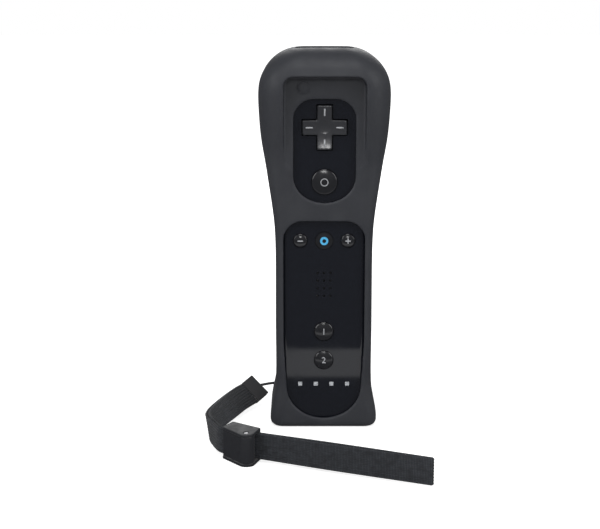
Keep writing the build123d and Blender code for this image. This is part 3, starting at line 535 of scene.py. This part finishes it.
def webbing_frames():
    """For each point of the line: its place and the directions along, across the layers and down."""
    frames = []
    for index, place in enumerate(webbing_line):
        before = webbing_line[max(index - 1, 0)]
        after = webbing_line[min(index + 1, len(webbing_line) - 1)]
        along = (after - before).normalized()
        side = Vector((0, 0, 1)).cross(along).normalized()
        upright = along.cross(side)
        lean = radians(tab_lean * max(0, 1 - index / lean_end))
        down = side * sin(lean) - upright * cos(lean)
        across = along.cross(down).normalized()
        frames.append((place, along, across, down))
    return frames


def layer_offset(index):
    """How far each layer lies from the middle: closed up to the lock, a little open past it."""
    tight = (webbing_gap + webbing_layer) / 2
    past_lock = max(0, webbing_line[index].x - lock_far_side - puff_start)
    left = max(0, webbing_line[-1].x - webbing_line[index].x)
    opening = 1 - exp(-past_lock / puff_rise)
    opening *= puff_end_share + (1 - puff_end_share) * (1 - exp(-left / puff_end_reach))
    sway = 1 - puff_sway + puff_sway * sin(past_lock / puff_sway_reach)
    return tight + puff * opening * sway


def strip_section():
    """The outline of one ribbed layer: across the width and through the thickness."""
    half_width = webbing_width / 2
    half_thick = webbing_layer / 2
    steps = rib_count * rib_steps
    face = []
    for step in range(steps + 1):
        share = step / steps
        width = (2 * share - 1) * half_width
        groove = rib_depth * (0.5 + 0.5 * cos(2 * pi * share * rib_count))
        edge = min(1, (half_width - abs(width)) / half_thick)
        thick = (half_thick - groove) * sqrt(max(edge_share_squared, 1 - (1 - edge) ** 2))
        face.append((width, thick))
    return face + [(width, -thick) for width, thick in reversed(face)]


def strip_places():
    """The strip's place and its directions outward and down, out along the line and back."""
    frames = webbing_frames()
    offsets = [layer_offset(index) for index in range(len(frames))]
    out = [
        (place + across * offset, across, down)
        for (place, _, across, down), offset in zip(frames, offsets)
    ]
    back = [
        (place - across * offset, -across, down)
        for (place, _, across, down), offset in zip(frames, offsets)
    ]
    place, along, across, down = frames[-1]
    fold = []
    for angle in range(fold_step, 180, fold_step):
        outward = across * cos(radians(angle)) + along * sin(radians(angle))
        fold.append((place + outward * offsets[-1], outward, down))
    return out + fold + back[::-1]


def webbing_mesh():
    """One ribbed strip that runs out along the line, folds round at its end and comes back."""
    places = strip_places()
    section = strip_section()
    work = bmesh.new()
    rings = [
        [work.verts.new(place + down * width + outward * thick) for width, thick in section]
        for place, outward, down in places
    ]
    # The weave's bands follow the strip's length and width
    travel = travelled([place for place, _, _ in places])
    uv = work.loops.layers.uv.new("strip")
    for row in range(len(rings) - 1):
        for column in range(len(section)):
            beside = (column + 1) % len(section)
            corners = [(row, column), (row, beside), (row + 1, beside), (row + 1, column)]
            face = work.faces.new([rings[r][c] for r, c in corners])
            for loop, (r, c) in zip(face.loops, corners):
                loop[uv].uv = (travel[r], section[c][0])
    work.faces.new(reversed(rings[0]))
    work.faces.new(rings[-1])
    return outward_mesh_from(work, "wrist_band")


webbing_piece = finish_piece(
    "wrist_band",
    webbing_mesh(),
    finishes["webbing_black"],
    "webbing_black",
    body_of("wrist_webbing"),
    "wrist_webbing",
)


# Moulded pieces

weld_reach = 0.001 * mm
pad_low, pad_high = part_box("d_pad")
pad_centre = (pad_low + pad_high) / 2
pad_reach = 9.1 * mm
pad_sink = 1.2 * mm
pad_proud = 1.9 * mm


def rough_copy(name, node):
    """An object with a node's mesh, its split points joined."""
    work = bmesh.new()
    work.from_mesh(frame["nodes"][node].data)
    bmesh.ops.remove_doubles(work, verts=work.verts, dist=weld_reach)
    return link(bpy.data.objects.new(name + "_rough", mesh_from(work, name)))


def moulded(name, node, material, voxel, passes, bend=None):
    """A piece with the node's shape and softly rounded edges, as it comes out of a mould."""
    holder = rough_copy(name, node)
    remesh = holder.modifiers.new("even", "REMESH")
    remesh.mode = "VOXEL"
    remesh.voxel_size = voxel
    smooth = holder.modifiers.new("soft", "SMOOTH")
    smooth.factor = 0.5
    smooth.iterations = passes
    bpy.context.view_layer.update()
    evaluated = holder.evaluated_get(bpy.context.evaluated_depsgraph_get())
    mesh = bpy.data.meshes.new_from_object(evaluated)
    mesh.name = name
    if bend:
        for vertex in mesh.vertices:
            vertex.co = bend(vertex.co)
    bpy.data.objects.remove(holder)
    return finish_piece(name, mesh, material, slots[node], body_of(node), node)


def pad_bend(place):
    """The pad's arms rise outward from its middle."""
    height = min(1, max(0, (pad_low.y + pad_proud - place.y) / pad_proud))
    away = ((place.x - pad_centre.x) ** 2 + (place.z - pad_centre.z) ** 2) / pad_reach**2
    return Vector((place.x, place.y + height * pad_sink * max(0, 1 - away), place.z))


power_low, power_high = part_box("power_button")
power_centre = (power_low + power_high) / 2
skin_front = 15.9 * mm
power_ring_radius = 2.2 * mm
power_ring_thick = 0.34 * mm
power_ring_sides = 10
ring_steps = 48


def power_ring():
    """A raised ring in the sleeve's skin round the power button."""
    centre = Vector((power_centre.x, -skin_front, power_centre.z))
    inward = Vector((0, 1, 0))
    work = bmesh.new()
    rings = []
    for step in range(ring_steps):
        angle = 2 * pi * step / ring_steps
        outward = Vector((cos(angle), 0, sin(angle)))
        middle = centre + outward * power_ring_radius
        ring = []
        for side in range(power_ring_sides):
            turn = 2 * pi * side / power_ring_sides
            round_middle = outward * cos(turn) + inward * sin(turn)
            ring.append(work.verts.new(middle + round_middle * power_ring_thick))
        rings.append(ring)
    join_rings(work, rings)
    mesh = outward_mesh_from(work, "power_ring")
    finish_piece("power_ring", mesh, finishes["silicone"], "silicone", body_of("sleeve"))


moulded("silicone_sleeve", "sleeve", finishes["silicone"], voxel=0.45 * mm, passes=8)
power_ring()
moulded("direction_pad", "d_pad", pad_black, voxel=0.2 * mm, passes=3, bend=pad_bend)
lock_black = finishes["lock_black"]
lock_piece = moulded("lock_shell", "lock_frame", lock_black, voxel=0.22 * mm, passes=4)
lever_piece = moulded("lock_cam", "lock_lever", lock_black, voxel=0.22 * mm, passes=3)
tab_black = finishes["tab_black"]
tab_piece = moulded("stitched_tab", "string_tab", tab_black, voxel=0.2 * mm, passes=4)


# Stitches on the tab: two rows across it by the webbing, and a short row along each side
# by the string

stitch_smoothness = 2
stitch_width_share = 0.4
stitch_height_share = 0.32
cross_rows = (1.3 * mm, 3.0 * mm)
cross_count = 7
cross_pitch = 1.45 * mm
cross_radius = 0.5 * mm
side_count = 4
side_start = 1.4 * mm
side_pitch = 1.1 * mm
side_inset = 0.9 * mm
side_radius = 0.42 * mm


def add_stitch(work, middle, radius, axes):
    """A bead, stretched along three axes."""
    bead = bmesh.ops.create_icosphere(work, subdivisions=stitch_smoothness, radius=radius)
    stretch = Matrix(axes).transposed().to_4x4()
    bmesh.ops.transform(work, matrix=Matrix.Translation(middle) @ stretch, verts=bead["verts"])


def stitches():
    """The stitches on both faces of the tab."""
    place, along, across, down = webbing_frames()[0]
    string_end = (Vector(string_route[0]) + Vector(string_route[-1])) * mm / 2
    length = (place - string_end).length
    cross_axes = (down, along * stitch_width_share, across * stitch_height_share)
    side_axes = (down * stitch_width_share, along, across * stitch_height_share)
    side_reach = webbing_width / 2 - side_inset
    work = bmesh.new()
    for face in (-1, 1):
        surface = across * face * (tab_thick / 2)
        for row in cross_rows:
            for step in range(cross_count):
                width = (step - cross_count // 2) * cross_pitch
                middle = place - along * row + down * width + surface
                add_stitch(work, middle, cross_radius, cross_axes)
        for side in (-1, 1):
            for step in range(side_count):
                middle = place - along * (length - side_start - step * side_pitch)
                middle += down * side * side_reach + surface
                add_stitch(work, middle, side_radius, side_axes)
    mesh = mesh_from(work, "tab_stitches")
    return finish_piece("tab_stitches", mesh, thread, "tab_black", body_of("string_tab"))


stitch_piece = stitches()

travelled(line_points(string_route))[-1]

dress_nodes()

# The photograph's glossy face doesn't mirror the strap
for piece in (string_piece, webbing_piece, lock_piece, lever_piece, tab_piece, stitch_piece):
    piece.visible_glossy = False


# Buttons

button_lip = 0.9 * mm
button_dome = 0.7 * mm
button_flange = 1.2 * mm
button_round = 0.22 * mm
rim_angles = (0, 25, 50, 75)
dome_steps = 14
button_steps = 64


def dome_curve(radius):
    """The radius of the sphere that a dome on a button of this radius is cut from."""
    return (radius * radius + button_dome * button_dome) / (2 * button_dome)


def dome_profile(low, high):
    """A button's outline from its back to the dome's middle: radius and depth."""
    flange = (high.x - low.x) / 2
    radius = flange - button_lip
    flange_front = high.y - button_flange
    rim_back = low.y + button_dome + button_round
    profile = [(0, high.y), (flange, high.y), (flange, flange_front), (radius, flange_front)]
    profile.append((radius, rim_back + button_round))
    for angle in rim_angles:
        turn = radians(angle)
        inward = button_round * (1 - cos(turn))
        profile.append((radius - inward, rim_back - button_round * sin(turn)))
    curve = dome_curve(radius)
    for step in range(dome_steps + 1):
        out = (radius - button_round) * (1 - step / dome_steps)
        profile.append((out, low.y + curve - sqrt(curve * curve - out * out)))
    return profile


def dome_button(node):
    """A turned button: a flange behind the face, a rounded rim and a polished dome."""
    low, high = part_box(node)
    centre = (low + high) / 2
    work = bmesh.new()
    rings = []
    for out, y in dome_profile(low, high):
        ring = []
        for step in range(button_steps if out > 0 else 1):
            turn = 2 * pi * step / button_steps
            corner = (centre.x + out * cos(turn), y, centre.z + out * sin(turn))
            ring.append(work.verts.new(corner))
        rings.append(ring)
    for ring, beside in zip(rings, rings[1:]):
        for step in range(button_steps):
            after = (step + 1) % button_steps
            if len(ring) == 1:
                work.faces.new([ring[0], beside[step], beside[after]])
            elif len(beside) == 1:
                work.faces.new([ring[step], beside[0], ring[after]])
            else:
                work.faces.new([ring[step], beside[step], beside[after], ring[after]])
    name = node + "_dome"
    mesh = outward_mesh_from(work, name)
    finish_piece(name, mesh, button_black, "gloss_black", body_of(node), node)


# Marks on the buttons, in thin raised shapes that reach a little below the surface

mark_lift = 0.03 * mm
mark_sink = 0.05 * mm
sign_half = 1.15 * mm
sign_thin = 0.24 * mm
sign_steps = 8
numeral_height = 3.8 * mm
numeral_cuts = 4
numeral_weld_reach = 0.0005 * mm
letter_ring_radius = 1.3 * mm
letter_ring_width = 0.35 * mm
pad_bar_reach = 6.3 * mm
pad_bar_half = 1.5 * mm
pad_bar_thin = 0.3 * mm
pad_bar_round = 0.02 * mm


def dome_place(node, x, z, lift):
    """A place that far above a button's dome, from its place across the face."""
    low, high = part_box(node)
    centre = (low + high) / 2
    curve = dome_curve((high.x - low.x) / 2 - button_lip)
    fall = curve - sqrt(curve * curve - (x * x + z * z))
    return Vector((centre.x + x, low.y + fall - lift, centre.z + z))


def mark_piece(name, work, node):
    """A mark of the faces made so far, on a button."""
    mesh = outward_mesh_from(work, name)
    finish_piece(name, mesh, mark_grey, "gloss_black", body_of(node))


def between(low, high, steps):
    """Even steps from one value to another, both ends among them."""
    return [low + (high - low) * step / steps for step in range(steps + 1)]


def bar_mark(work, node, x_low, x_high, z_low, z_high, steps):
    """A thin bar that follows the dome."""
    layers = []
    for lift in (mark_lift, -mark_sink):
        layers.append(
            [
                [work.verts.new(dome_place(node, x, z, lift)) for x in between(x_low, x_high, steps)]
                for z in between(z_low, z_high, steps)
            ]
        )
    top, bottom = layers
    for row in range(steps):
        for column in range(steps):
            near = (row, column), (row, column + 1), (row + 1, column + 1), (row + 1, column)
            work.faces.new([top[r][c] for r, c in near])
            work.faces.new([bottom[r][c] for r, c in reversed(near)])
    forward, backward = range(steps), range(steps, 0, -1)
    rim = [(0, column) for column in forward] + [(row, steps) for row in forward]
    rim += [(steps, column) for column in backward] + [(row, 0) for row in backward]
    for here, after in zip(rim, rim[1:] + rim[:1]):
        side = (top, here), (bottom, here), (bottom, after), (top, after)
        work.faces.new([layer[r][c] for layer, (r, c) in side])


def sign_marks():
    """The minus and plus signs; the plus sign's upper and lower halves stand on its bar."""
    half, thin = sign_half, sign_thin
    for node in ("minus_button", "plus_button"):
        work = bmesh.new()
        bar_mark(work, node, -half, half, -thin, thin, sign_steps)
        if node == "plus_button":
            bar_mark(work, node, -thin, thin, thin, half, sign_steps // 2)
            bar_mark(work, node, -thin, thin, -half, -thin, sign_steps // 2)
        mark_piece(node.replace("button", "sign"), work, node)


def numeral_mark(node, text):
    """A numeral that follows the dome."""
    name = node.replace("button", "numeral")
    data = bpy.data.curves.new(text, "FONT")
    data.body = text
    data.size = numeral_height
    data.align_x = "CENTER"
    data.align_y = "CENTER"
    data.extrude = (mark_lift + mark_sink) / 2
    holder = link(bpy.data.objects.new(name, data))
    bpy.context.view_layer.update()
    mesh = bpy.data.meshes.new_from_object(holder)
    bpy.data.objects.remove(holder)
    work = bmesh.new()
    work.from_mesh(mesh)
    bmesh.ops.remove_doubles(work, verts=work.verts, dist=numeral_weld_reach)
    # Level cuts let the long strokes bend with the dome
    for step in range(-numeral_cuts, numeral_cuts + 1):
        parts = work.verts[:] + work.edges[:] + work.faces[:]
        level = (0, step * numeral_height / (2 * numeral_cuts + 2), 0)
        bmesh.ops.bisect_plane(work, geom=parts, plane_co=level, plane_no=(0, 1, 0))
    for vertex in work.verts:
        flat = vertex.co.copy()
        vertex.co = dome_place(node, flat.x, flat.y, mark_lift if flat.z > 0 else -mark_sink)
    mark_piece(name, work, node)


def ring_mark(node):
    """A ring that follows the dome."""
    inner = letter_ring_radius
    outer = letter_ring_radius + letter_ring_width
    corners = (inner, mark_lift), (outer, mark_lift), (outer, -mark_sink), (inner, -mark_sink)
    work = bmesh.new()
    rings = []
    for radius, lift in corners:
        ring = []
        for step in range(ring_steps):
            angle = 2 * pi * step / ring_steps
            place = dome_place(node, radius * cos(angle), radius * sin(angle), lift)
            ring.append(work.verts.new(place))
        rings.append(ring)
    join_rings(work, rings)
    mark_piece(node.replace("button", "ring"), work, node)


def pad_marks():
    """A short bar on each arm of the direction pad."""
    work = bmesh.new()
    for side_x, side_z in ((1, 0), (-1, 0), (0, 1), (0, -1)):
        half_x = pad_bar_half if side_x else pad_bar_thin
        half_z = pad_bar_half if side_z else pad_bar_thin
        middle = pad_centre + Vector((side_x, 0, side_z)) * pad_bar_reach
        middle.y = pad_low.y
        placed = Matrix.Translation(middle) @ Matrix.Diagonal((half_x, mark_lift, half_z, 1))
        made = bmesh.ops.create_cube(work, size=2)
        bmesh.ops.transform(work, matrix=placed, verts=made["verts"])
    bmesh.ops.bevel(work, geom=work.edges[:], offset=pad_bar_round, segments=2, affect="EDGES")
    for vertex in work.verts:
        vertex.co = pad_bend(vertex.co)
    mark_piece("pad_bars", work, "d_pad")


for button in ("a_button", "minus_button", "plus_button", "one_button", "two_button"):
    dome_button(button)
sign_marks()
numeral_mark("one_button", "1")
numeral_mark("two_button", "2")
ring_mark("a_button")
pad_marks()


# Floor and world, which look different to the camera and in mirror-like surfaces

floor_half = 6.0
floor_grey = 0.8
# The floor turns pure white to the camera past the object's shadow
shadow_reach = 0.13
near_glow = 0.68
# Mirror-like surfaces see a dim floor with a white band across it in front of the wand
sheet_front = -137.5 * mm
sheet_back = -87.5 * mm
sheet_edge = 3 * mm
dim_floor = 0.14
# The world is white to the camera, and its light on the object is plain and soft
soft_strength = 0.34
mirror_strength = 0.24


class Backdrop(Nodes):
    """A surface that looks different to different kinds of ray."""

    def __init__(self, tree):
        super().__init__(tree)
        tree.nodes.clear()

    def rays(self, *kinds):
        """A factor that is 1 for the named kinds of ray."""
        path = self.node("ShaderNodeLightPath")
        factor = path.outputs[kinds[0]]
        for kind in kinds[1:]:
            factor = self.combined("MAXIMUM", factor, path.outputs[kind])
        return factor

    def glow(self, strength):
        """White light of a strength that varies."""
        shader = self.node("ShaderNodeEmission")
        self.join(strength, shader.inputs["Strength"])
        return shader.outputs[0]

    def sky(self, strength):
        """White light from all round."""
        shader = self.node("ShaderNodeBackground")
        shader.inputs["Color"].default_value = (1, 1, 1, 1)
        shader.inputs["Strength"].default_value = strength
        return shader.outputs[0]

    def mixed(self, factor, first, second):
        """The first shader where the factor is 0 and the second where it is 1."""
        mix = self.node("ShaderNodeMixShader")
        for place, source in enumerate((factor, first, second)):
            self.join(source, mix.inputs[place])
        return mix.outputs[0]

    def added(self, first, second):
        """Both shaders on top of each other."""
        add = self.node("ShaderNodeAddShader")
        self.join(first, add.inputs[0])
        self.join(second, add.inputs[1])
        return add.outputs[0]

    def show(self, shader, kind):
        self.join(shader, self.node(kind).inputs["Surface"])


def floor_finish():
    """Pale, with the glow for the camera and the band for mirror-like surfaces."""
    material = bpy.data.materials.new("floor")
    material.use_nodes = True
    nodes = Backdrop(material.node_tree)
    place = nodes.node("ShaderNodeNewGeometry").outputs["Position"]
    diffuse = nodes.node("ShaderNodeBsdfDiffuse")
    diffuse.inputs["Color"].default_value = (floor_grey, floor_grey, floor_grey, 1)
    away = nodes.node("ShaderNodeVectorMath", operation="LENGTH")
    nodes.join(place, away.inputs[0])
    spread = nodes.ranged(away.outputs["Value"], near_glow, 1, shadow_reach, 3 * shadow_reach)
    glow = nodes.glow(nodes.combined("MULTIPLY", nodes.rays("Is Camera Ray"), spread))
    split = nodes.node("ShaderNodeSeparateXYZ")
    nodes.join(place, split.inputs[0])
    depth = split.outputs["Y"]
    front = nodes.ranged(depth, dim_floor, 1, sheet_front - sheet_edge, sheet_front + sheet_edge)
    back = nodes.ranged(depth, 1, dim_floor, sheet_back - sheet_edge, sheet_back + sheet_edge)
    band = nodes.glow(nodes.combined("MINIMUM", front, back))
    lit = nodes.added(diffuse.outputs[0], glow)
    nodes.show(nodes.mixed(nodes.rays("Is Glossy Ray"), lit, band), "ShaderNodeOutputMaterial")
    return material


def make_floor():
    """A pale floor that keeps the object's shadow."""
    work = bmesh.new()
    corners = ((-1, -1), (1, -1), (1, 1), (-1, 1))
    work.faces.new([work.verts.new((x * floor_half, y * floor_half, 0)) for x, y in corners])
    mesh = mesh_from(work, "floor")
    mesh.materials.append(floor_finish())
    link(bpy.data.objects.new("floor", mesh))


def make_world():
    """White to the camera, dim in mirror-like surfaces and soft light elsewhere."""
    world = bpy.data.worlds.new("world")
    world.use_nodes = True
    scene.world = world
    nodes = Backdrop(world.node_tree)
    soft, mirrored, white = nodes.sky(soft_strength), nodes.sky(mirror_strength), nodes.sky(1)
    lit = nodes.mixed(nodes.rays("Is Glossy Ray"), soft, mirrored)
    seen = nodes.mixed(nodes.rays("Is Camera Ray", "Is Transmission Ray"), lit, white)
    nodes.show(seen, "ShaderNodeOutputWorld")


# Lights: name, place, width, height and power in watts

wand_middle = Vector((0, 0, 80 * mm))
soft_lights = [
    ("top_light", (-0.05, -0.4, 0.95), 0.5, 0.35, 2.4),
    ("front_light", (0.0, -1.15, 0.53), 0.26, 0.13, 1.9),
    ("left_light", (-0.9, -0.55, 0.55), 0.5, 0.7, 4.2),
    ("right_light", (0.9, -0.45, 0.5), 0.4, 0.7, 3.4),
    ("back_light", (0.1, 0.9, 0.6), 0.7, 0.5, 3.0),
]


def soft_light(name, place, width, height, power):
    """A rectangular light that is aimed at the wand's middle."""
    data = bpy.data.lights.new(name, "AREA")
    data.shape = "RECTANGLE"
    data.size = width
    data.size_y = height
    data.energy = power
    light = link(bpy.data.objects.new(name, data))
    light.location = place
    light.rotation_euler = (wand_middle - Vector(place)).to_track_quat("-Z", "Y").to_euler()


make_floor()
make_world()
for light in soft_lights:
    soft_light(*light)

scene.view_settings.view_transform = "Standard"
